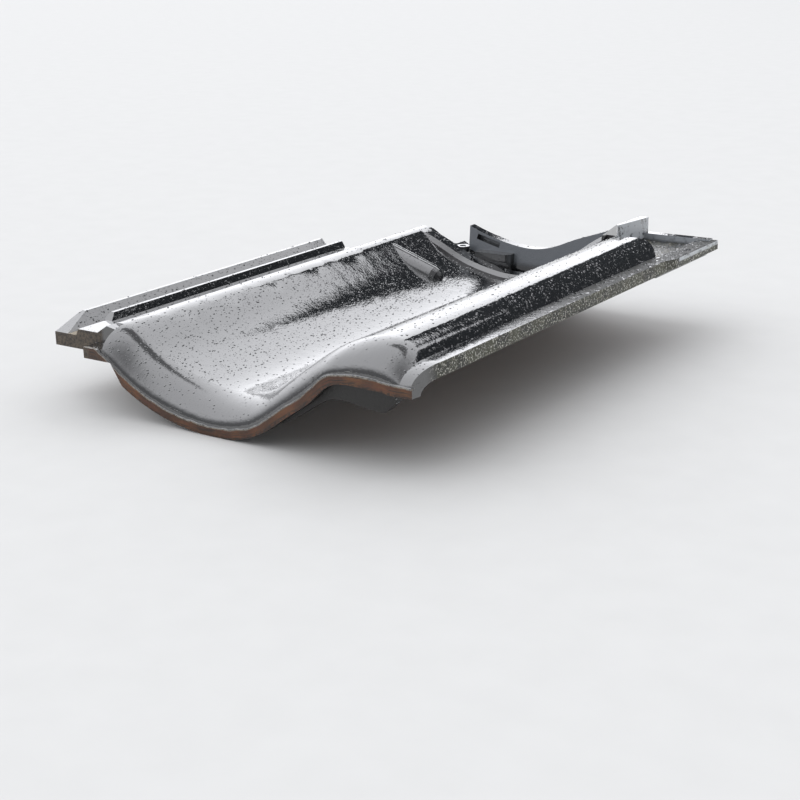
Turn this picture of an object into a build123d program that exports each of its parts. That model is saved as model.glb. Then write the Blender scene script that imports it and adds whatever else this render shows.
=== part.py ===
"""Interlocking clay roof tile, glazed, one fired piece.

Frame: X across the tile (the side lock is on -X, the roll on +X), Y from the
nose (-Y) to the head (+Y), Z up. The origin is the middle of the footprint, on
the floor that the tile lies on: it touches down on the nose and on two nibs.
All sizes are in millimetres. While it is drawn, x is measured from the tile's
left edge and y from the nose.
"""
import math
import os

from build123d import *

os.makedirs("parts", exist_ok=True)

# Overall sizes
WIDTH = 276.0
LENGTH = 360.0
WALL = 11.0            # fired thickness of the body
EDGE = 5.0             # height of the bare clay band along the nose
RIM_OVERHANG = 4.0     # behind the roll the outer rim stands out beyond the lip
SIDE = WIDTH - RIM_OVERHANG
LIP_WIDTH = 10.5       # flat lip beside the roll
LIP_EDGE = 8.0         # thickness of this lip
LIP_START = SIDE - LIP_WIDTH

# Nose: the front rolls over and down like a quarter ellipse
NOSE_REACH = 23.0      # length of the rolled-over part
NOSE_LAND = 7.0        # flat underside behind the band
NOSE_STATIONS = 6      # sections along the turn
NOSE_DRAWN_IN = 3.5    # the right end of the nose is narrower by this

# Side lock
LOCK_BASE = 31.7       # underside of the lock plate
LOCK_FRONT = 12.7      # set back from the nose
LOCK_SETBACK = 86.0    # it is cut off square this far before the head
LOCK_END = LENGTH - LOCK_SETBACK
GROOVE_FLOOR = 40.0    # floor of the outer, deep groove
SHELF = 44.0           # floor of the inner, shallow groove
SHELF_START = 20.0
RIB_TOP = 48.3
OUTER_RIB_FOOT = 11.0
OUTER_RIB_RAMP = 22.0  # the outer rib rises over this length
INNER_RIB = 17.5       # left foot of the inner rib
INNER_RIB_FRONT = 36.0
INNER_RIB_RAMP = 5.0

# Crest at the left of the pan
CREST = 44.0
CREST_EDGE = 49.0      # top of the slope between the inner groove and the crest
NOSE_LIP = (36.3, 50.0)    # small flat lip at the left end of the nose
NOSE_LIP_TOP = 38.3
STEP = (12.0, 20.0)    # the crest steps down to this lip between these two

# Cross-section from the crest to the lip: x, height of the glazed surface in the
# body, and height of the same line at the front edge of the nose. It is stretched
# across so that its end meets the lip.
SURFACE = (
    (CREST, 49.0, 38.3),
    (53.0, 49.3, 33.4),
    (70.0, 39.3, 22.1),
    (100.0, 26.4, 9.4),
    (135.0, 20.7, 5.1),
    (163.0, 27.4, 10.4),
    (181.0, 38.8, 22.3),
    (203.0, 54.2, 38.0),
    (215.0, 61.2, 47.6),
    (227.0, 65.8, 49.8),
    (242.0, 68.3, 50.3),
    (253.0, 66.6, 49.5),
    (260.0, 60.6, 48.9),
)
DRAWN_LIP_START = SURFACE[-1][0] + 1.5     # where the lip starts in this drawing
LIP_TOP = 58.5
NOSE_CORNER = 48.8     # height of the lip at the front edge

# Head: upstand across the pan, with a slot in its face and a ledge at its foot
HEAD_LENGTH = 83.0     # the plain stretch of the body ends where the head starts
HEAD_START = LENGTH - HEAD_LENGTH
WALL_THICKNESS = 11.0  # of the upstand at its foot
WALL_FRONT = LENGTH - WALL_THICKNESS
WALL_LEAN = 6.0        # its face leans back by this much over its height
WALL_TOP = (
    (82.0, 51.0), (98.0, 45.4), (114.0, 41.6), (134.0, 39.2),
    (154.0, 42.6), (167.0, 48.0), (184.0, 54.0), (204.0, 61.0),
)
WALL_FOOT = 18.0       # its foot is sunk in the pan: lowest in the middle
WALL_LEFT_FOOT = 34.0
WALL_RIGHT_FOOT = 30.0
LEAN_BELOW = 8.0       # the lean starts this far below the foot
LEAN_TOP = 62.0
SLOT_X = 98.0
SLOT_LENGTH = 20.0
SLOT_HEIGHT = 4.0
SLOT_BOTTOM = 39.5
SLOT_TURN = 14.0       # it slopes with the top, in degrees
LEDGE_FRONT = WALL_FRONT - 5.5
LEDGE_SPAN = (92.0, 121.0)
LEDGE_TOP = 34.5
LEDGE_EDGE = 5.0
LEDGE_CHAMFER = 3.0
HEAD_CUT_LENGTH = 17.0
HEAD_CUT = (73.0, LENGTH - HEAD_CUT_LENGTH)    # the head corner beyond the lock is cut away
HEAD_CUT_RADIUS = 8.0

# Raised ridge on the left flank of the pan, and a broad band behind it
RIDGE_SETBACK = 72.0
RIDGE_Y = LENGTH - RIDGE_SETBACK
RIDGE_RADIUS = 7.5
RIDGE_END_STEP = 30    # its end turns down in steps of this many degrees
RIDGE_LINE = ((48.0, 43.0), (92.0, 27.8))   # x and height of its centre line
BAND_SETBACK = 26.0
BAND_Y = LENGTH - BAND_SETBACK
BAND_WIDTH = 16.0
BAND_HEIGHT = 4.0
BAND_SPAN = (52.0, 206.0)

# Nail hole with a flat seat
NAIL_SETBACK = 15.0
NAIL_HOLE = (81.0, LENGTH - NAIL_SETBACK)
NAIL_DIAMETER = 5.0
NAIL_SEAT = 10.0
NAIL_SEAT_DEPTH = 8.0
NAIL_SEAT_TOP = 37.5

# Tray behind the end of the roll
TRAY_LENGTH = 60.0
ROLL_END = LENGTH - TRAY_LENGTH
TRAY_LEFT = 224.0
TRAY_RIGHT = 263.0
TRAY_FLOOR = 55.0
TRAY_UNDERSIDE = 47.5
TRAY_CORNER = 12.0     # plan radius of the roll's rounded end
PLATE_FRONT = ROLL_END - 18.0      # the plate starts under the end of the roll
RIM_FRONT = ROLL_END - 6.0         # from here on the rim has the tile's full width
RIM_TAPER = 8.0
RIM_UNDERSIDE = 52.5
RAIL_WIDTH = 6.0
RAIL_TOP = 59.5

# Three-cornered block between the tray and the upstand
FIN_LENGTH = 46.0      # its upright side, beside the tray
FIN_FRONT = LENGTH - FIN_LENGTH
FIN_FOOT = 188.0       # its left corner, on the upstand
FIN_FOOT_LENGTH = 6.0
FIN_BACK = LENGTH - FIN_FOOT_LENGTH
FIN_FOOT_TOP = 52.0
FIN_TOP = 72.0
FIN_FALL = 2.5         # its top falls by this towards the head
FIN_EDGE = 2.0         # width of its top

# Underside
NIB_SETBACK = 30.0     # bearing face of the nibs: the tile hangs by it
NIB_Y = LENGTH - NIB_SETBACK
NIB_LENGTH = 14.0
NIB_WIDTH = 18.0
NIB_CENTRES = (115.0, 157.0)
NIB_HEIGHT = 20.0
NIB_TAPER = 8.0        # degrees
LAP_RIB = (5.0, 11.5)  # rib under the roll behind the nose: it covers the next lock's front
LAP_RIB_EDGE = ((173.0, 12.5), (188.0, 18.5), (203.0, 28.0), (215.0, 34.0), (231.0, 33.2), (249.0, 32.4))
LAP_RIB_END = (255.0, 38.0)

OVER = FIN_TOP + 10.0  # above everything
UNDER = -20.0          # below everything
QUARTER = 1 - math.sqrt(0.5)


def at(x):
    """Place across the real tile of an x in the drawn cross-section."""
    return CREST + (x - CREST) * (LIP_START - CREST) / (DRAWN_LIP_START - CREST)


def standing(y):
    """Plane across the tile at the distance y from the nose."""
    return Plane(origin=(0, y, 0), x_dir=(1, 0, 0), z_dir=(0, -1, 0))


def block(x, y, z):
    """Box between two limits along each axis."""
    corner = (x[0], y[0], z[0])
    return Pos(*corner) * Box(x[1] - x[0], y[1] - y[0], z[1] - z[0], align=(Align.MIN,) * 3)


def straight(face, length):
    """A face that stands across the tile, carried on towards the head."""
    return extrude(face, amount=length, dir=(0, 1, 0))


def prism(points, x):
    """Shape drawn from the side as (y, z) and carried across between two x."""
    side = Plane(origin=(x[0], 0, 0), x_dir=(0, 1, 0), z_dir=(1, 0, 0))
    return extrude(side * make_face(Polyline(*points, close=True)), amount=x[1] - x[0])


def column(outline, z):
    """Outline drawn in plan, carried up between two heights."""
    return Pos(0, 0, z[0]) * extrude(make_face(outline), amount=z[1] - z[0])


def across(pull):
    """Key points of the glazed surface; pull is 0 at the nose edge, 1 in the body."""
    return [(at(x), nose + (body - nose) * pull) for x, body, nose in SURFACE]


def lip_height(pull):
    """Height of the lip beside the roll."""
    return NOSE_CORNER + (LIP_TOP - NOSE_CORNER) * pull


def outer_section(y, pull):
    """Everything below the glazed surface, as a face standing at y."""
    points = across(pull)
    height = lip_height(pull)
    foot = (LIP_START, height)
    outline = Wire([
        Spline(*points),
        Line(points[-1], foot),
        Line(foot, (SIDE, height)),
        Line((SIDE, height), (SIDE, UNDER)),
        Line((SIDE, UNDER), (CREST, UNDER)),
        Line((CREST, UNDER), points[0]),
    ])
    return standing(y) * make_face(outline)


def offset_points(pull, depth):
    """Points at the given depth square below the glazed surface."""
    curve = Spline(*across(pull))
    found = []
    for step in range(12):
        share = 0.12 + 0.84 * step / 11
        point = curve @ share
        along = curve % share
        found.append((point.X + along.Y * depth, point.Y - along.X * depth))
    return found


def hollow_section(y, pull):
    """Everything below the underside, as a face standing at y."""
    near = offset_points(0.0, EDGE)
    far = offset_points(1.0, WALL)
    points = []
    for a, b in zip(near, far):
        points.append((a[0] + (b[0] - a[0]) * pull, a[1] + (b[1] - a[1]) * pull))
    edge = lip_height(pull) - EDGE - (LIP_EDGE - EDGE) * pull
    outside = WIDTH + 5
    left = points[0][0] - 8
    right = points[-1][0] + 4
    outline = Wire([
        Spline(*points),
        Line(points[-1], (right, edge)),
        Line((right, edge), (outside, edge)),
        Line((outside, edge), (outside, UNDER - 10)),
        Line((outside, UNDER - 10), (-5, UNDER - 10)),
        Line((-5, UNDER - 10), (-5, LOCK_BASE)),
        Line((-5, LOCK_BASE), (left, LOCK_BASE)),
        Line((left, LOCK_BASE), points[0]),
    ])
    return standing(y) * make_face(outline)


def rolled_over(section, start, reach):
    """Sections of one kind set along a quarter ellipse."""
    faces = []
    for i in range(NOSE_STATIONS):
        turn = math.pi / 2 * i / (NOSE_STATIONS - 1)
        faces.append(section(start + reach * (1 - math.cos(turn)), math.sin(turn)))
    return faces


def outer_body():
    """Crest, pan and roll under the glaze, down to a flat base."""
    body = loft(rolled_over(outer_section, 0, NOSE_REACH))
    body += straight(outer_section(NOSE_REACH, 1), HEAD_START - NOSE_REACH)
    body += straight(outer_section(HEAD_START, 1), LENGTH - HEAD_START)
    # the crest steps down to a small flat lip at the left end of the nose
    step = (
        (-1, NOSE_LIP_TOP), (STEP[0], NOSE_LIP_TOP), (STEP[1], CREST_EDGE), (STEP[1], OVER), (-1, OVER))
    body -= prism(step, (CREST - 2, NOSE_LIP[1] + 1))
    # the right end of the nose is drawn in
    drawn_in = Polyline(
        (SIDE - NOSE_DRAWN_IN, 0), (SIDE, NOSE_REACH), (SIDE + 1, NOSE_REACH),
        (SIDE + 1, -1), (SIDE - NOSE_DRAWN_IN, -1), close=True)
    body -= column(drawn_in, (UNDER - 1, OVER))
    return body


def hollow():
    """Space under the tile, from in front of the nose to behind the head."""
    turned = rolled_over(hollow_section, NOSE_LAND, NOSE_REACH - NOSE_LAND)
    along = [hollow_section(HEAD_START, 1), hollow_section(LENGTH + 1, 1)]
    return loft([hollow_section(-1, 0), *turned, *along], ruled=True)


def lock_rib(section, front, ramp, floor):
    """Rib along the lock, as long as the lock reaches, with a ramp at its front end."""
    rib = straight(standing(front) * make_face(section), LOCK_END - front)
    back = front + ramp
    above = ((front - 1, floor), (front, floor), (back, RIB_TOP), (back, OVER), (front - 1, OVER))
    return rib - prism(above, (-1, CREST))


def side_lock():
    """Plate with two upstanding ribs and the two grooves beside them."""
    plate = Polyline(
        (0, UNDER), (0, GROOVE_FLOOR), (SHELF_START - 2, GROOVE_FLOOR), (SHELF_START, SHELF),
        (CREST - 8, SHELF), (CREST, CREST_EDGE),
        (CREST + 9, CREST_EDGE - 1.5), (CREST + 9, UNDER), close=True)
    lock = straight(standing(LOCK_FRONT) * make_face(plate), LOCK_END - LOCK_FRONT)
    # outer rib: upright outside, long slope inside
    outer = Polyline(
        (0, LOCK_BASE), (1, RIB_TOP - 1), (2, RIB_TOP), (4.5, RIB_TOP),
        (OUTER_RIB_FOOT, GROOVE_FLOOR), (OUTER_RIB_FOOT, LOCK_BASE), close=True)
    lock += lock_rib(outer, LOCK_FRONT, OUTER_RIB_RAMP, GROOVE_FLOOR)
    inner = Polyline(
        (INNER_RIB, GROOVE_FLOOR), (INNER_RIB + 1.5, RIB_TOP - 1), (INNER_RIB + 2.5, RIB_TOP),
        (INNER_RIB + 5, RIB_TOP), (INNER_RIB + 7.5, SHELF), (INNER_RIB + 7.5, GROOVE_FLOOR), close=True)
    lock += lock_rib(inner, INNER_RIB_FRONT, INNER_RIB_RAMP, SHELF)
    # the crest slope goes on to the head after the lock has ended
    slope = Polyline(
        (CREST - 6, UNDER), (CREST - 6, SHELF - 1), (CREST, CREST_EDGE),
        (CREST + 9, CREST_EDGE - 1.5), (CREST + 9, UNDER), close=True)
    lock += straight(standing(LOCK_END - 1) * make_face(slope), LENGTH - LOCK_END + 1)
    lock += block(NOSE_LIP, (0, STEP[1]), (UNDER, NOSE_LIP_TOP))
    return lock


def lap_rib():
    """Rib across under the roll, set back from the nose band."""
    inside = [(at(x), nose + EDGE) for x, _, nose in SURFACE if x > LAP_RIB_EDGE[0][0]][:-1]
    edge = [(at(x), z) for x, z in LAP_RIB_EDGE]
    end = (at(LAP_RIB_END[0]), LAP_RIB_END[1])
    start = (edge[0][0], edge[0][1] + EDGE)
    outline = Wire([
        Spline(start, *inside),
        Line(inside[-1], end),
        Line(end, edge[-1]),
        Spline(*edge),
        Line(edge[0], start),
    ])
    return straight(standing(LAP_RIB[0]) * make_face(outline), LAP_RIB[1] - LAP_RIB[0])


def nib(x):
    """Batten nib: square bearing face towards the nose, tapered on the rest."""
    drop = math.tan(math.radians(NIB_TAPER)) * NIB_HEIGHT
    side = (
        (NIB_Y, 0), (NIB_Y + NIB_LENGTH - drop, 0), (NIB_Y + NIB_LENGTH, NIB_HEIGHT), (NIB_Y, NIB_HEIGHT))
    return prism(side, (x - NIB_WIDTH / 2, x + NIB_WIDTH / 2))


def ridge():
    """Round ridge that comes out of the crest and runs down the flank; its end is rounded off."""
    (x0, z0), (x1, z1) = RIDGE_LINE
    start = Vector(at(x0), RIDGE_Y, z0)
    end = Vector(at(x1), RIDGE_Y, z1)
    outline = [(0, 0), (RIDGE_RADIUS, 0)]
    for degrees in range(0, 91, RIDGE_END_STEP):
        turn = math.radians(degrees)
        outline.append((RIDGE_RADIUS * math.cos(turn), (end - start).length + RIDGE_RADIUS * math.sin(turn)))
    rod = revolve(Plane.XZ * make_face(Polyline(*outline, close=True)), axis=Axis.Z)
    return Plane(origin=start, z_dir=end - start) * rod


def band():
    """Broad band across the pan, flat on top with sloping sides, growing out of the crest."""
    curve = Spline(*across(1))
    points = []
    for step in range(9):
        x = at(BAND_SPAN[0]) + (at(BAND_SPAN[1]) - at(BAND_SPAN[0])) * step / 8
        low, high = 0.0, 1.0
        for _ in range(30):
            middle = (low + high) / 2
            if (curve @ middle).X < x:
                low = middle
            else:
                high = middle
        sunk = max(0.0, BAND_HEIGHT * (1 - step))
        points.append((x, BAND_Y, (curve @ low).Y - sunk))
    path = Spline(*points)
    start = Plane(origin=path @ 0, x_dir=(0, 1, 0), z_dir=path % 0)
    half = BAND_WIDTH / 2
    profile = Polyline(
        (-half, -BAND_HEIGHT), (half, -BAND_HEIGHT), (half, BAND_HEIGHT / 3), (half - 3, BAND_HEIGHT),
        (3 - half, BAND_HEIGHT), (-half, BAND_HEIGHT / 3), close=True)
    return sweep(start * make_face(profile), path=path)


def upstand():
    """Wall along the head with a leaning face, a slot and a ledge at its foot."""
    top = [(at(x), z) for x, z in WALL_TOP]
    right_foot = (top[-1][0], WALL_RIGHT_FOOT)
    lowest = (at(WALL_TOP[3][0]), WALL_FOOT)
    left_foot = (top[0][0], WALL_LEFT_FOOT)
    outline = Wire([
        Spline(*top),
        Line(top[-1], right_foot),
        Line(right_foot, lowest),
        Line(lowest, left_foot),
        Line(left_foot, top[0]),
    ])
    wall = straight(standing(WALL_FRONT) * make_face(outline), WALL_THICKNESS)
    foot, back, ahead = WALL_FOOT - LEAN_BELOW, WALL_FRONT + WALL_LEAN, WALL_FRONT - 1
    lean = ((ahead, foot), (WALL_FRONT, foot), (back, LEAN_TOP), (ahead, LEAN_TOP))
    wall -= prism(lean, (0, WIDTH))
    # slot, cut 3 mm deep at its top
    slot = Box(SLOT_LENGTH, WALL_LEAN + 3, SLOT_HEIGHT, align=(Align.CENTER, Align.MIN, Align.MIN))
    wall -= Pos(at(SLOT_X), WALL_FRONT, SLOT_BOTTOM) * Rot(0, SLOT_TURN, 0) * slot
    # ledge: level on top, undercut in front, with a chamfered end
    low, high = at(LEDGE_SPAN[0]), at(LEDGE_SPAN[1])
    back = WALL_FRONT + 3
    side = (
        (LEDGE_FRONT, LEDGE_TOP), (LEDGE_FRONT, LEDGE_TOP - LEDGE_EDGE), (WALL_FRONT, WALL_FOOT + 2),
        (back, WALL_FOOT + 2), (back, LEDGE_TOP))
    ledge = prism(side, (low, high))
    corner = Polyline(
        (high - LEDGE_CHAMFER, LEDGE_FRONT), (high, LEDGE_FRONT + LEDGE_CHAMFER),
        (high, LEDGE_FRONT), close=True)
    return wall + (ledge - column(corner, (0, OVER)))


def fin():
    """Three-cornered block: upright beside the tray, its top slopes down to the upstand."""
    left, right = at(FIN_FOOT), at(TRAY_LEFT)
    plan = Polyline((right, FIN_FRONT), (right, LENGTH), (left, LENGTH), (left, FIN_BACK), close=True)
    section = Polyline(
        (left, SHELF), (left, FIN_FOOT_TOP), (right - FIN_EDGE, FIN_TOP),
        (right, FIN_TOP), (right, SHELF), close=True)
    profile = standing(FIN_FRONT - 1) * make_face(section)
    body = column(plan, (0, OVER)) & straight(profile, LENGTH - FIN_FRONT + 1)
    back = LENGTH + 1
    above = ((FIN_FRONT, FIN_TOP), (back, FIN_TOP - FIN_FALL), (back, OVER), (FIN_FRONT, OVER))
    return body - prism(above, (left - 1, right + 1))


def tray_plate():
    """Plate behind the roll, with the rim that stands out beyond the lip."""
    plate = block((at(TRAY_LEFT) - 6, SIDE - 4), (PLATE_FRONT, LENGTH), (TRAY_UNDERSIDE, LIP_TOP))
    rim = Polyline(
        (SIDE - 4, RIM_FRONT - RIM_TAPER), (SIDE, RIM_FRONT - RIM_TAPER), (WIDTH, RIM_FRONT),
        (WIDTH, LENGTH), (SIDE - 4, LENGTH), close=True)
    return plate + column(rim, (RIM_UNDERSIDE, LIP_TOP))


def tray_space():
    """What is cleared away above the tray; the end of the roll has a rounded corner."""
    left, right = at(TRAY_LEFT), at(TRAY_RIGHT)
    outline = Wire([
        Line((left, ROLL_END), (right - TRAY_CORNER, ROLL_END)),
        ThreePointArc(
            (right - TRAY_CORNER, ROLL_END),
            (right - TRAY_CORNER * QUARTER, ROLL_END - TRAY_CORNER * QUARTER),
            (right, ROLL_END - TRAY_CORNER)),
        Line((right, ROLL_END - TRAY_CORNER), (right, LENGTH + 1)),
        Line((right, LENGTH + 1), (left, LENGTH + 1)),
        Line((left, LENGTH + 1), (left, ROLL_END)),
    ])
    return column(outline, (TRAY_FLOOR, OVER))


def head_corner():
    """The corner of the head beyond the lock, which is cut away with a hollow curve."""
    x, y = at(HEAD_CUT[0]), HEAD_CUT[1]
    outline = Wire([
        Line((-1, y), (x - HEAD_CUT_RADIUS, y)),
        ThreePointArc(
            (x - HEAD_CUT_RADIUS, y), (x - HEAD_CUT_RADIUS * QUARTER, y + HEAD_CUT_RADIUS * QUARTER),
            (x, y + HEAD_CUT_RADIUS)),
        Line((x, y + HEAD_CUT_RADIUS), (x, LENGTH + 1)),
        Line((x, LENGTH + 1), (-1, LENGTH + 1)),
        Line((-1, LENGTH + 1), (-1, y)),
    ])
    return column(outline, (-1, OVER))


# body and lock, hollowed from below
tile = outer_body() + side_lock() - hollow()

# behind the end of the roll: plate and rim, with the tray sunk in them
tile += tray_plate()
tile -= tray_space()
tile += block((at(TRAY_LEFT) - 2, WIDTH - 4), (LENGTH - RAIL_WIDTH, LENGTH), (RIM_UNDERSIDE, RAIL_TOP))

# raised features of the head
tile += ridge()
tile += band()
tile += upstand()
tile += fin()
tile -= head_corner()

# underside
tile += lap_rib()
for centre in NIB_CENTRES:
    tile += nib(at(centre))

# nail hole with its flat seat
nail = Pos(at(NAIL_HOLE[0]), NAIL_HOLE[1], NAIL_SEAT_TOP)
tile += nail * Cylinder(NAIL_SEAT / 2, NAIL_SEAT_DEPTH, align=(Align.CENTER, Align.CENTER, Align.MAX))
tile -= nail * Cylinder(NAIL_DIAMETER / 2, 2 * NAIL_SEAT_TOP)

tile = Pos(-WIDTH / 2, -LENGTH / 2, 0) * tile
export_step(tile, "parts/roof_tile.step")
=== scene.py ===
import math
import random

import bpy
from mathutils import Matrix, Vector


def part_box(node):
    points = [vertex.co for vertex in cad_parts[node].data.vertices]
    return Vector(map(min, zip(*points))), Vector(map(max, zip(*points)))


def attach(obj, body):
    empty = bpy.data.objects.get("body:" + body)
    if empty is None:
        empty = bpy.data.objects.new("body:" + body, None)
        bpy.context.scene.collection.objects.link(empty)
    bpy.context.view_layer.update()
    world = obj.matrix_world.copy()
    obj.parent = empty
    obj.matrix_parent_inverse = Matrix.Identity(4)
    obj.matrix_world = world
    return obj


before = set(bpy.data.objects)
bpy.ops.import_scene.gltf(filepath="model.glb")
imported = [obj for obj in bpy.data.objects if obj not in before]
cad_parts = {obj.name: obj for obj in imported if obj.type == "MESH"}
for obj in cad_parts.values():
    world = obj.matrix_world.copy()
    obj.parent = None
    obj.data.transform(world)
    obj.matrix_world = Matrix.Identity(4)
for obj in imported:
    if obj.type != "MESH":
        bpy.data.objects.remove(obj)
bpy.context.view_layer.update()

MM = 0.001
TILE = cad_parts["roof_tile"]
LOW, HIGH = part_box("roof_tile")

# Places on the tile, in metres, worked out from its box
NOSE = LOW[1]                        # plane of the nose's front edge
HEAD = HIGH[1]
LEFT = LOW[0]
RIGHT = HIGH[0]
TOP = HIGH[2]
LOCK_FRONT = NOSE + 12.7 * MM        # front end of the side lock
LOCK_WIDTH = 38 * MM
GROOVE = (LEFT + 9 * MM, LEFT + 19 * MM)   # sides of the outer groove's floor
GROOVE_FLOOR = 40 * MM
GROOVE_DIRT = 75 * MM                # the dirt in the groove reaches this far back
TRAY = (LEFT + 224 * MM, HEAD - 62 * MM)   # left and front side of the tray
TRAY_FLOOR = 55 * MM
SIDE = RIGHT - 4 * MM                # the lip's outer side lies beyond this
LIP = RIGHT - 15 * MM                # the flat lip beside the roll starts here
LIP_DIRT = (NOSE + 40 * MM, NOSE + 200 * MM)   # the dirt on it grows from the first to the second
UPSTAND_FRONT = HEAD - 17 * MM
UPSTAND_FOOT = 24 * MM
LEDGE_FRONT = HEAD - 18 * MM
LEDGE_FOOT = 17 * MM
LEDGE_END = LEFT + 124 * MM
UNDERSIDE_FROM = NOSE + 14 * MM      # the bare clay of the underside starts here
NIB_HEIGHT = 20 * MM
NIBS = (HEAD - 32 * MM, HEAD - 10 * MM)    # they stand between these, and are bare clay

# The bare clay band along the nose, and the line on which the glaze ends
BAND_HEIGHT = 5 * MM
BAND_DEPTH = 1.2 * MM                # the clay reaches this far round the lower edge
BROWN_END = LEFT + 50 * MM           # the clay is browner to the left of this
GLAZE_WAVER = 0.35 * MM              # the glaze ends this far above or below the line
STREAK = (20 * MM, 0.9 * MM)         # length and height of a streak in the clay
ON_FRONT = 0.02 * MM                 # a point this near the front plane is on the line
LINE_STEP = 0.6 * MM                 # the line's points lie at least this far apart
TURNED_DOWN = -0.2                   # a face that looks down more than this is below the clay band

# Patterns in the glaze and the clay: size of a lump, detail and roughness of the noise.
# The peel, the grit and the crumbs are finer on a real tile, and as coarse here as they need to show.
PATTERNS = {
    "broad": (60 * MM, 3.0, 0.55),
    "cloudy": (14 * MM, 3.0, 0.55),
    "waver": (7 * MM, 2.0, 0.5),
    "ripple": (9 * MM, 1.0, 0.5),
    "peel": (1.5 * MM, 2.0, 0.5),
    "grit": (1.6 * MM, 4.0, 0.7),
    "smear": (4 * MM, 3.0, 0.6),
    "crumbs": (1.1 * MM, 1.0, 0.5),
}
NOISE_SPAN = (0.3, 0.7)              # nearly all of a pattern lies between these

# Where each thing lies: how much of it there is at most, and its limits. A limit is what it is
# measured by, where there is none of it, and where there is all of it. Places are x, y and z, the way
# that the surface faces is right, ahead and up, and above is the height over the end of the glaze.
REGIONS = {
    # bare clay: the band, the hollow behind it, which is painted near black as its shade, the underside but
    # for the glazed ledge, and the nibs
    "ledge": (1.0, ("y", LEDGE_FRONT, LEDGE_FRONT + 2 * MM), ("z", LEDGE_FOOT, LEDGE_FOOT + 2 * MM),
              ("x", LEDGE_END, LEDGE_END - 2 * MM)),
    "band": (1.0, ("above", 0.12 * MM, -0.12 * MM), ("y", NOSE + BAND_DEPTH, NOSE + BAND_DEPTH / 2),
             ("up", 0.75, 0.45)),
    "inside": (0.9, ("above", -BAND_HEIGHT - 0.2 * MM, -BAND_HEIGHT - 1 * MM),
               ("y", NOSE + 1.5 * MM, NOSE + 3 * MM)),
    "underside": (1.0, ("up", -0.15, -0.45), ("y", UNDERSIDE_FROM, UNDERSIDE_FROM + 12 * MM),
                  ("ledge", 1.0, 0.0)),
    "nibs": (1.0, ("z", NIB_HEIGHT, NIB_HEIGHT - 2 * MM), ("y", NIBS[0] - 2 * MM, NIBS[0]),
             ("y", NIBS[1] + 2 * MM, NIBS[1])),

    # the end of the glaze: a thick bead, a pale painted highlight along its edge, and dust that clings over
    # it
    "bead": (1.0, ("above", -0.3 * MM, 0.3 * MM), ("above", 1.4 * MM, 0.5 * MM),
             ("y", NOSE + 3 * MM, NOSE + 1.5 * MM)),
    "painted_edge_highlight": (0.7, ("above", -0.35 * MM, -0.1 * MM), ("above", 0.65 * MM, 0.3 * MM),
                  ("y", NOSE + 3 * MM, NOSE + 1.5 * MM), ("grit", 0.38, 0.52)),
    "nose_dust": (0.5, ("above", 8 * MM, 1 * MM), ("y", NOSE + 12 * MM, NOSE + 6 * MM),
                  ("streak", 0.56, 0.7), ("grit", 0.45, 0.6)),

    # in the clay: paler clouds, streaks, the dirty lower edge and the brown left end
    "pale_clouds": (1.0, ("cloudy", 0.35, 0.68)),
    "red_streaks": (0.6, ("streak", 0.52, 0.62)),
    "dark_streaks": (0.85, ("streak", 0.46, 0.36)),
    "dirty_edge": (1.0, ("above", -3.2 * MM, -4.8 * MM), ("grit", 0.4, 0.6)),
    "left_end": (0.6, ("x", BROWN_END + 12 * MM, BROWN_END)),

    # dirt where rain water stands or runs: lock, outer groove, tray, right side and lip
    "lock_end": (0.92, ("y", LOCK_FRONT + 4 * MM, LOCK_FRONT + 1 * MM), ("ahead", -0.4, -0.8),
                 ("x", LEFT + LOCK_WIDTH + 4 * MM, LEFT + LOCK_WIDTH)),
    "groove": (1.0, ("x", GROOVE[0], GROOVE[0] + 3 * MM), ("x", GROOVE[1], GROOVE[1] - 2 * MM),
               ("y", LOCK_FRONT + GROOVE_DIRT, LOCK_FRONT + 5 * MM), ("up", 0.5, 0.9),
               ("z", GROOVE_FLOOR + 3 * MM, GROOVE_FLOOR + 1 * MM), ("grit", 0.32, 0.5)),
    "tray": (0.85, ("x", TRAY[0], TRAY[0] + 3 * MM), ("y", TRAY[1], TRAY[1] + 3 * MM),
             ("z", TRAY_FLOOR + 2 * MM, TRAY_FLOOR + 0.5 * MM),
             ("z", TRAY_FLOOR - 2 * MM, TRAY_FLOOR - 0.5 * MM), ("cloudy", 0.2, 0.55)),
    "side": (0.95, ("right", 0.75, 0.95), ("x", SIDE - 2 * MM, SIDE), ("grit", 0.2, 0.4)),
    "lip": (0.85, ("x", LIP - 2 * MM, LIP + 2 * MM), ("up", 0.5, 0.8), ("smear", 0.36, 0.5),
            ("y", *LIP_DIRT)),
    "gritty": (1.0, ("grit", 0.35, 0.65)),
    "mossy": (1.0, ("cloudy", 0.35, 0.65)),
    "crumbly": (1.0, ("crumbs", 0.56, 0.66)),

    # painted reflections on the upright faces at the head: a pale one on the faces in the tray
    "painted_tray_reflection": (0.9, ("x", TRAY[0] - 3 * MM, TRAY[0] - 1 * MM), ("y", TRAY[1], TRAY[1] + 2 * MM),
             ("up", 0.5, 0.3), ("z", TRAY_FLOOR + 0.5 * MM, TRAY_FLOOR + 1.5 * MM), ("smear", 0.25, 0.5)),
    # a grey painted reflection on the upstand's front face
    "painted_upstand_reflection": (0.65, ("y", UPSTAND_FRONT, UPSTAND_FRONT + 3 * MM), ("ahead", -0.6, -0.85),
             ("z", UPSTAND_FOOT, UPSTAND_FOOT + 6 * MM)),

    # how dull the band and the tray are
    "dull_band": (0.9, ("band", 0.0, 1.0)),
    "dull_tray": (0.55, ("tray", 0.0, 1.0)),
}

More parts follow.
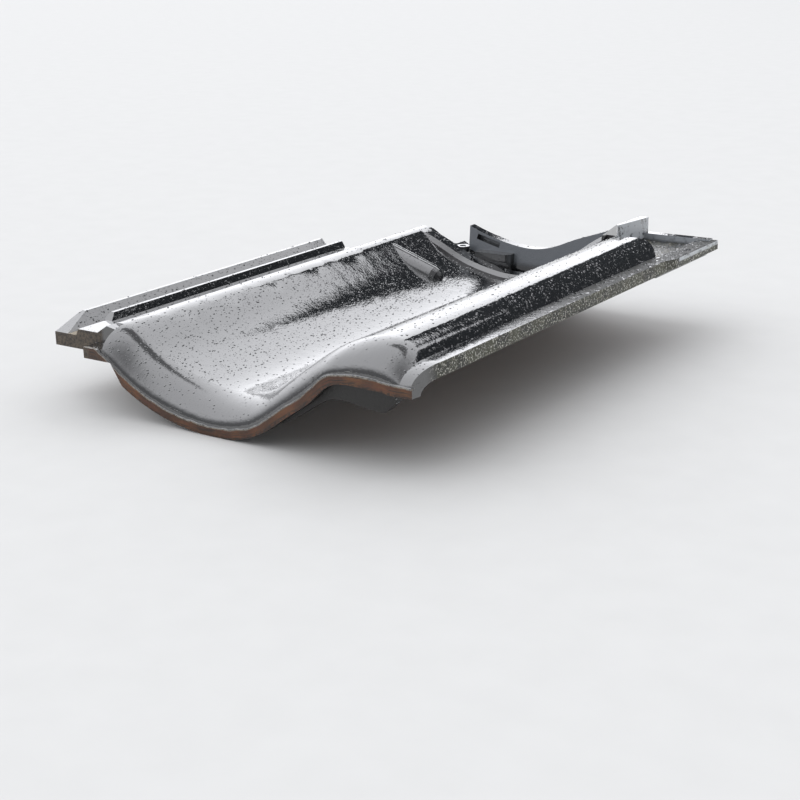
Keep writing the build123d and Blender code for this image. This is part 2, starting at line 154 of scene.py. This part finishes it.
# Colours, each with what is laid over it and where
COLOURS = {
    "glaze": ("#0a0b0d", ("#15171a", "broad")),
    "clay": ("#432610", ("#68401d", "pale_clouds"), ("#582817", "red_streaks"), ("#1f150d", "dark_streaks"),
             ("#26190f", "dirty_edge"), ("#2c1e13", "left_end")),
    "biscuit": ("#4a3527", ("#6b5140", "cloudy")),
    "mud": ("#2a211a", ("#5f5343", "gritty")),
    "grime": ("#262722", ("#4a4a3a", "mossy"), ("#c3c2b8", "crumbly")),
    # on the tile, the hollow behind the band is painted near black as its shade, the glaze's edge has a pale
    # painted highlight, and the upright faces at the head have pale and grey painted reflections
    "tile": ("glaze", ("#5d564a", "nose_dust"), ("#14110e", "inside"), ("clay", "band"),
             ("#989082", "painted_edge_highlight"), ("biscuit", "underside"), ("biscuit", "nibs"), ("mud", "lock_end"),
             ("#948872", "groove"), ("#33332a", "tray"), ("grime", "side"), ("#15160f", "lip"),
             ("#d2d6da", "painted_tray_reflection"), ("#8b9096", "painted_upstand_reflection")),
}

# Bare or dirty places, and the painted shade, highlight and reflections, where there is no layer of glass
DULL = ("dull_band", "inside", "painted_edge_highlight", "underside", "nibs", "lock_end", "groove", "side", "lip", "painted_tray_reflection",
        "painted_upstand_reflection", "dull_tray", "nose_dust")
GLAZE_ROUGHNESS = (0.03, 0.08)
DULL_ROUGHNESS = 0.5

# Fine relief with its strength and depth: slow ripple and orange peel of the glaze, the thick bead
# where it ends, and the clay's open grain
RELIEF = (("ripple", 0.10, 1.0 * MM), ("peel", 0.12, 0.4 * MM), ("bead", 1.0, 0.25 * MM),
          ("grain", 0.7, 0.5 * MM))

# The worn edges
EDGE_WEAR = 0.9 * MM
EDGE_ANGLE = 38                      # in degrees; a blunter edge stays as it is

# The photograph's camera, found from the tile's own edges, with its angles in degrees
CAMERA_PLACE = (0.5561, -0.7986, 0.2857)
CAMERA_AZIMUTH = 34.95
CAMERA_ELEVATION = 17.85
CAMERA_ROLL = -1.37
LENS_MM = 70.5
SENSOR_MM = 36.0
CLIP = (0.01, 100.0)

# Rain on the glaze: number, radii and sides, and rings as (width, height) in radii
SPRAY = (9000, (0.22 * MM, 0.45 * MM), 6, ((1.0, -0.05),))
DROPS = (4400, (0.35 * MM, 0.85 * MM), 6, ((1.0, -0.05), (0.72, 0.32)))
TRIES_PER_DROP = 8
DROP_HEIGHT = 0.48                   # of its radius
DROP_SLOPE = 0.12                    # no drop stays where the surface is steeper than this
DRY_NOSE = 1.5 * MM                  # none stands on the front of the nose
LEANING = 0.2                        # what faces right more than this keeps every drop
LEVEL_SHARE = 0.3                    # this share stays elsewhere, as the rest has run together

# Sand washed into the corners
GRAINS = 1500
TRIES_PER_GRAIN = 40
GRAIN_SIZES = (0.15 * MM, 0.45 * MM)
GRAIN_STRETCH = (0.6, 1.2)           # a grain's corners lie this far out, of its size
GRAIN_SEED = 5
SAND_DEPTH = 1 * MM                  # over the floor of the groove
SAND_LIES = 0.5                      # on what faces up more than this
SAND_CLINGS = 0.9                    # to the side where that faces right more than this

# The room's brightness, where 1 is white: plain walls, and the soft daylight from behind on the left
ROOM = 0.5
DAYLIGHT = 2.3
DAYLIGHT_FROM = (-0.87, 0.5, 0.0)
DAYLIGHT_SPREAD = (-0.6, 0.1)        # cosines from that direction, from none to full
HORIZON = (0.0, 0.38)                # heights between which it starts, as sines
HORIZON_DROP = 0.2                   # it starts lower at the back and higher in front
OVERHEAD = (0.80, 0.86)              # heights between which it ends high up at the back, as sines
OVERHEAD_BACK = (0.25, 0.42)         # how far to the back that starts and is full, as cosines

# A dark screen behind on the right, which only the glaze shows: azimuths and elevations of its top
SCREEN_DISTANCE = 5.0
SCREEN_TOP = ((-23, 38), (-8, 38), (4, 38), (15, 38), (19, 31), (30, 31), (40, 31), (50, 31))

FLOOR_REACH = 12.0                   # from its middle to a side


def linear(hex_colour):
    """An sRGB hex colour as linear RGBA."""
    channels = [int(hex_colour[i:i + 2], 16) / 255 for i in (1, 3, 5)]
    return [c / 12.92 if c <= 0.04045 else ((c + 0.055) / 1.055) ** 2.4 for c in channels] + [1.0]


def fill(tree, made, takes):
    """Links or sets a node's inputs."""
    for name, value in takes.items():
        if isinstance(value, bpy.types.NodeSocket):
            tree.links.new(value, made.inputs[name])
        else:
            made.inputs[name].default_value = value


def node(tree, kind, takes=None, **settings):
    """Adds one node with its settings, links and values."""
    made = tree.nodes.new("ShaderNode" + kind)
    for name, value in settings.items():
        setattr(made, name, value)
    fill(tree, made, takes or {})
    return made


def surface(name):
    """A new material: itself, its tree and its shader."""
    material = bpy.data.materials.new(name)
    material.use_nodes = True
    tree = material.node_tree
    return material, tree, tree.nodes["Principled BSDF"]


def region(tree, limits, full=1.0):
    """As much as full where every limit is met, down to none. A limit is a value, its none and its all."""
    inside = full
    for value, start, end in limits:
        ramp = node(tree, "MapRange", {0: value, 1: start, 2: end}, interpolation_type="SMOOTHSTEP")
        inside = node(tree, "Math", {0: ramp.outputs[0], 1: inside}, operation="MULTIPLY").outputs[0]
    return inside


def joined(tree, regions):
    """The strongest of several regions."""
    either = regions[0]
    for other in regions[1:]:
        either = node(tree, "Math", {0: either, 1: other}, operation="MAXIMUM").outputs[0]
    return either


def laid_over(tree, below, layers):
    """Colours laid one over another. Each layer is a colour, as hex or a socket, and where it covers."""
    if isinstance(below, str):
        below = linear(below)
    for colour, covers in layers:
        top = linear(colour) if isinstance(colour, str) else colour
        below = node(tree, "Mix", {0: covers, 6: below, 7: top}, data_type="RGBA").outputs[2]
    return below


def nose_line(mesh):
    """Upper edge of the clay band along the nose, as (x, z) from left to right."""
    mesh.calc_loop_triangles()
    edge = {}
    under = set()
    for triangle in mesh.loop_triangles:
        for i in triangle.vertices:
            x, y, z = mesh.vertices[i].co
            if y < NOSE + ON_FRONT:
                spot = (round(x, 5), round(z, 5))
                edge[spot] = (x, z)
                if triangle.normal.z < TURNED_DOWN:
                    under.add(spot)
    line = []
    for x, z in sorted(edge[spot] for spot in edge if spot not in under):
        if not line or x - line[-1][0] > LINE_STEP:
            line.append((x, z))
    return line


def height_of_line(tree, x, line):
    """Height of the nose's line at x, from a curve through its points."""
    share = node(tree, "MapRange", {0: x, 1: LEFT, 2: RIGHT}).outputs[0]
    curve = node(tree, "FloatCurve", {"Value": share})
    spots = [((px - LEFT) / (RIGHT - LEFT), pz / TOP) for px, pz in line]
    points = curve.mapping.curves[0].points
    points[0].location = (0.0, spots[0][1])
    points[-1].location = (1.0, spots[-1][1])
    for spot in spots:
        points.new(*spot)
    curve.mapping.update()
    return node(tree, "Math", {0: curve.outputs[0], 1: TOP}, operation="MULTIPLY").outputs[0]


def measures(tree, line):
    """What the regions are measured by: place, the way that the surface faces, and patterns."""
    place = node(tree, "TexCoord").outputs["Object"]
    facing = node(tree, "NewGeometry").outputs["Normal"]
    at = dict(zip(("x", "y", "z"), node(tree, "SeparateXYZ", {0: place}).outputs))
    at.update(zip(("right", "ahead", "up"), node(tree, "SeparateXYZ", {0: facing}).outputs))
    for name, (size, detail, rough) in PATTERNS.items():
        takes = {"Vector": place, "Scale": 1 / size, "Detail": detail, "Roughness": rough}
        at[name] = node(tree, "TexNoise", takes).outputs[0]

    # height above the glaze's wavering end, and long streaks that run with it
    steps = (at["waver"], *NOISE_SPAN, -GLAZE_WAVER, GLAZE_WAVER)
    waver = node(tree, "MapRange", dict(enumerate(steps))).outputs[0]
    end = node(tree, "Math", {0: height_of_line(tree, at["x"], line), 1: waver}, operation="ADD").outputs[0]
    at["above"] = node(tree, "Math", {0: at["z"], 1: end}, operation="SUBTRACT").outputs[0]
    along = node(tree, "CombineXYZ", {0: at["x"], 1: at["above"]}).outputs[0]
    pressed = (1 / STREAK[0], 1 / STREAK[1], 0.0)
    drawn = node(tree, "VectorMath", {0: along, 1: pressed}, operation="MULTIPLY").outputs[0]
    at["streak"] = node(tree, "TexNoise", {"Vector": drawn, "Scale": 1.0, "Roughness": 0.6}).outputs[0]
    return at


def glazed_clay(line):
    """Wet black glaze on fired clay.

    The glaze is a smooth layer of dark glass, rich in iron, manganese and lead
    and wet with rain, so its reflections are sharp and strong. It is the shader's
    coat. It ends in a thick edge along the nose, with a pale painted highlight on it.
    Below that and underneath, the clay is a rough brown, and dirt has settled where
    water stands. The hollow behind the band is painted near black as its shade, and
    the upright faces at the head carry pale and grey painted reflections.
    """
    material, tree, shader = surface("black_glaze_on_clay")
    at = measures(tree, line)
    for name, (full, *limits) in REGIONS.items():
        at[name] = region(tree, [(at[what], none, most) for what, none, most in limits], full)
    mixed = {}
    for name, (below, *layers) in COLOURS.items():
        layers = [(mixed.get(colour, colour), at[where]) for colour, where in layers]
        mixed[name] = laid_over(tree, mixed.get(below, below), layers)

    dull = joined(tree, [at[name] for name in DULL])
    steps = (at["cloudy"], *NOISE_SPAN, *GLAZE_ROUGHNESS)
    glossy = node(tree, "MapRange", dict(enumerate(steps))).outputs[0]
    rough = node(tree, "Mix", {0: dull, 2: glossy, 3: DULL_ROUGHNESS}).outputs[0]
    glass = node(tree, "MapRange", {0: dull, 3: 1.0, 4: 0.0}).outputs[0]

    at["grain"] = node(tree, "Math", {0: at["grit"], 1: dull}, operation="MULTIPLY").outputs[0]
    takes = {}
    for name, strength, depth in RELIEF:
        takes.update({"Height": at[name], "Strength": strength, "Distance": depth})
        takes["Normal"] = node(tree, "Bump", takes).outputs[0]

    relief = takes["Normal"]
    fill(tree, shader, {"Base Color": mixed["tile"], "Roughness": rough, "IOR": 1.5, "Normal": relief,
                        "Coat Weight": glass, "Coat Roughness": 0.03, "Coat IOR": 1.95,
                        "Coat Normal": relief})
    return material


def rain_water():
    """Rain water on black glaze.

    A drop shows the dark glaze under it and one sharp point of the sky, so it
    reads as a dark bead in a bright reflection and as a white point in a dark one.
    The water is the shader's coat.
    """
    material, tree, shader = surface("rain_water")
    place = node(tree, "TexCoord").outputs["Object"]
    dust = node(tree, "TexNoise", {"Vector": place, "Scale": 1 / (6 * MM), "Detail": 2.0}).outputs[0]
    colour = laid_over(tree, "#0c0e10", [("#202427", dust)])
    rough = node(tree, "MapRange", {0: dust, 3: 0.02, 4: 0.07}).outputs[0]
    fill(tree, shader, {"Base Color": colour, "Roughness": rough, "IOR": 2.1,
                        "Coat Weight": 1.0, "Coat Roughness": 0.02, "Coat IOR": 1.33})
    return material


def washed_sand():
    """Wet sand and crumbs of lime and moss: matt grains, from olive to pale beige, with a wet gleam."""
    material, tree, shader = surface("washed_sand")
    place = node(tree, "TexCoord").outputs["Object"]
    mix = node(tree, "TexNoise", {"Vector": place, "Scale": 1 / (1.5 * MM), "Detail": 2.0}).outputs[0]
    colour = laid_over(tree, "#4b493c", [("#b9b3a2", region(tree, [(mix, 0.4, 0.62)]))])
    fill(tree, shader, {"Base Color": colour, "Roughness": 0.55, "Coat Weight": 0.4, "Coat Roughness": 0.1})
    return material


def scatter(mesh, wanted, tries, seed, liking):
    """Yields random places on the mesh with their normals, even by area but for what liking says."""
    rng = random.Random(seed)
    found = 0
    mesh.calc_loop_triangles()
    triangles = list(mesh.loop_triangles)
    areas = [triangle.area for triangle in triangles]
    for triangle in rng.choices(triangles, weights=areas, k=tries):
        a, b, c = (mesh.vertices[i].co for i in triangle.vertices)
        s, t = rng.random(), rng.random()
        if s + t > 1:
            s, t = 1 - s, 1 - t
        spot = a + (b - a) * s + (c - a) * t
        if rng.random() < liking(spot, triangle.normal):
            yield rng, spot, triangle.normal.copy()
            found += 1
            if found == wanted:
                return


def inside_box(centre, room):
    """Whether a thing of this radius stays inside the tile's box."""
    return all(LOW[i] + room <= centre[i] <= HIGH[i] - room for i in range(3))


def add_drop(points, faces, centre, normal, size, sides, rings):
    """One low dome: rings of points from its foot up, and its top."""
    across = normal.orthogonal().normalized()
    along = normal.cross(across)
    first = len(points)
    for width, height in rings:
        for i in range(sides):
            turn = 2 * math.pi * i / sides
            spot = across * math.cos(turn) + along * math.sin(turn)
            points.append(centre + (spot * width + normal * height) * size)
    points.append(centre + normal * (size * DROP_HEIGHT))
    top = len(points) - 1
    for ring in range(len(rings)):
        below = first + ring * sides
        for i in range(sides):
            j = (i + 1) % sides
            if ring == len(rings) - 1:
                faces.append((below + i, below + j, top))
            else:
                faces.append((below + i, below + j, below + sides + j, below + sides + i))


def new_piece(name, points, faces, material):
    """One mesh of one material."""
    mesh = bpy.data.meshes.new(name)
    mesh.from_pydata(points, [], faces)
    mesh.materials.append(material)
    piece = bpy.data.objects.new(name, mesh)
    bpy.context.collection.objects.link(piece)
    return piece


def stand_on_tile(piece):
    """Lets a piece ride on the tile."""
    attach(piece, "root")


def rain(mesh):
    """Fine spray and small drops standing on the glaze."""
    points = []
    faces = []
    for seed, (count, (smallest, largest), sides, rings) in enumerate((SPRAY, DROPS)):
        def stays(spot, normal):
            if normal.z < DROP_SLOPE or spot.y < NOSE + DRY_NOSE or not inside_box(spot, largest):
                return 0.0
            return 1.0 if normal.x > LEANING else LEVEL_SHARE

        for rng, centre, normal in scatter(mesh, count, count * TRIES_PER_DROP, seed, stays):
            size = smallest + (largest - smallest) * rng.random() ** 2
            add_drop(points, faces, centre, normal, size, sides, rings)
    drops = new_piece("rain_drops", points, faces, rain_water())
    drops.data.shade_smooth()
    stand_on_tile(drops)


def add_grain(points, faces, centre, size, rng):
    """One grain of sand: eight triangles between six uneven corners."""
    first = len(points)
    for axis in (Vector((1, 0, 0)), Vector((0, 1, 0)), Vector((0, 0, 1))):
        for way in (-1, 1):
            points.append(centre + axis * (way * size * rng.uniform(*GRAIN_STRETCH)))
    for i in (0, 1):
        for j in (2, 3):
            for k in (4, 5):
                corner = (first + i, first + j, first + k)
                faces.append(corner if (i + j + k) % 2 else corner[::-1])


def dirt(mesh):
    """Grains of sand in the tray, at the front of the outer groove and along the right side."""
    smallest, largest = GRAIN_SIZES

    def dirty(spot, normal):
        in_tray = spot.x > TRAY[0] and spot.y > TRAY[1] and abs(spot.z - TRAY_FLOOR) < SAND_DEPTH / 2
        in_groove = (GROOVE[0] < spot.x < GROOVE[1] and spot.y < LOCK_FRONT + GROOVE_DIRT
                     and spot.z < GROOVE_FLOOR + SAND_DEPTH and normal.z > SAND_LIES)
        on_side = normal.x > SAND_CLINGS and spot.x > SIDE
        return (in_tray or in_groove or on_side) and inside_box(spot, largest * GRAIN_STRETCH[1])

    points = []
    faces = []
    for rng, centre, normal in scatter(mesh, GRAINS, GRAINS * TRIES_PER_GRAIN, GRAIN_SEED, dirty):
        size = smallest + (largest - smallest) * rng.random() ** 3
        add_grain(points, faces, centre, size, rng)
    stand_on_tile(new_piece("washed_sand", points, faces, washed_sand()))


def dress(tile):
    """Gives the tile its glaze and takes the sharpness off its edges."""
    glaze = glazed_clay(nose_line(tile.data))
    for slot in tile.material_slots:
        slot.material = glaze
    worn = tile.modifiers.new("worn_edges", "BEVEL")
    worn.width = EDGE_WEAR
    worn.segments = 2
    worn.limit_method = "ANGLE"
    worn.angle_limit = math.radians(EDGE_ANGLE)
    worn.harden_normals = True


def stage_piece(name, points, faces, material):
    """A mesh of the studio, which isn't part of the tile."""
    piece = new_piece(name, points, faces, material)
    return piece


def studio_floor():
    """A pale matt painted floor."""
    material, tree, shader = surface("pale_floor_paint")
    place = node(tree, "TexCoord").outputs["Object"]
    speckle = node(tree, "TexNoise", {"Vector": place, "Scale": 1 / (25 * MM), "Detail": 4.0}).outputs[0]
    colour = laid_over(tree, "#c6c6c4", [("#ccccca", speckle)])
    fill(tree, shader, {"Base Color": colour, "Roughness": 0.8})
    reach = FLOOR_REACH
    corners = [(-reach, -reach, 0), (reach, -reach, 0), (reach, reach, 0), (-reach, reach, 0)]
    stage_piece("floor", corners, [(0, 1, 2, 3)], material)


def dark_screen():
    """A grey felt screen behind on the right, because the glaze needs something dark to mirror."""
    material, tree, shader = surface("grey_felt")
    place = node(tree, "TexCoord").outputs["Object"]
    felt = node(tree, "TexNoise", {"Vector": place, "Scale": 1 / (33 * MM)}).outputs[0]
    fill(tree, shader, {"Base Color": laid_over(tree, "#3c3f42", [("#4a4d50", felt)]), "Roughness": 0.9})
    points = []
    for azimuth, elevation in SCREEN_TOP:
        turn = math.radians(azimuth)
        top = SCREEN_DISTANCE * math.tan(math.radians(elevation))
        for height in (0, top):
            points.append((SCREEN_DISTANCE * math.sin(turn), SCREEN_DISTANCE * math.cos(turn), height))
    faces = [(i, i + 2, i + 3, i + 1) for i in range(0, len(points) - 2, 2)]
    screen = stage_piece("grey_screen", points, faces, material)
    screen.visible_camera = False
    screen.visible_diffuse = False
    screen.visible_shadow = False


def studio_light():
    """A plain room with broad soft daylight from behind on the left."""
    world = bpy.data.worlds.new("studio")
    bpy.context.scene.world = world
    world.use_nodes = True
    tree = world.node_tree
    direction = node(tree, "TexCoord").outputs["Generated"]
    along = []
    for axis in ((0.0, HORIZON_DROP, 1.0), DAYLIGHT_FROM):
        product = node(tree, "VectorMath", {0: direction, 1: axis}, operation="DOT_PRODUCT")
        along.append(product.outputs["Value"])
    height, towards = along
    ahead, up = node(tree, "SeparateXYZ", {0: direction}).outputs[1:]
    dark = region(tree, [(up, *OVERHEAD), (ahead, *OVERHEAD_BACK)])
    daylight = region(tree, [(towards, *DAYLIGHT_SPREAD), (height, *HORIZON), (dark, 1.0, 0.0)])
    strength = node(tree, "MapRange", {0: daylight, 3: ROOM, 4: DAYLIGHT}).outputs[0]
    fill(tree, tree.nodes["Background"], {"Color": linear("#f2f3f7"), "Strength": strength})


def camera():
    """Looks at the tile as the photograph does."""
    data = bpy.data.cameras.new("camera")
    data.lens = LENS_MM
    data.sensor_width = SENSOR_MM
    data.clip_start, data.clip_end = CLIP
    eye = bpy.data.objects.new("camera", data)
    bpy.context.collection.objects.link(eye)
    turn = Matrix.Rotation(math.radians(CAMERA_AZIMUTH), 4, "Z")
    tilt = Matrix.Rotation(math.radians(90 - CAMERA_ELEVATION), 4, "X")
    roll = Matrix.Rotation(math.radians(CAMERA_ROLL), 4, "Z")
    eye.matrix_world = Matrix.Translation(CAMERA_PLACE) @ turn @ tilt @ roll
    bpy.context.scene.camera = eye


dress(TILE)
rain(TILE.data)
dirt(TILE.data)
studio_floor()
dark_screen()
studio_light()
camera()
bpy.context.scene.view_settings.view_transform = "Standard"
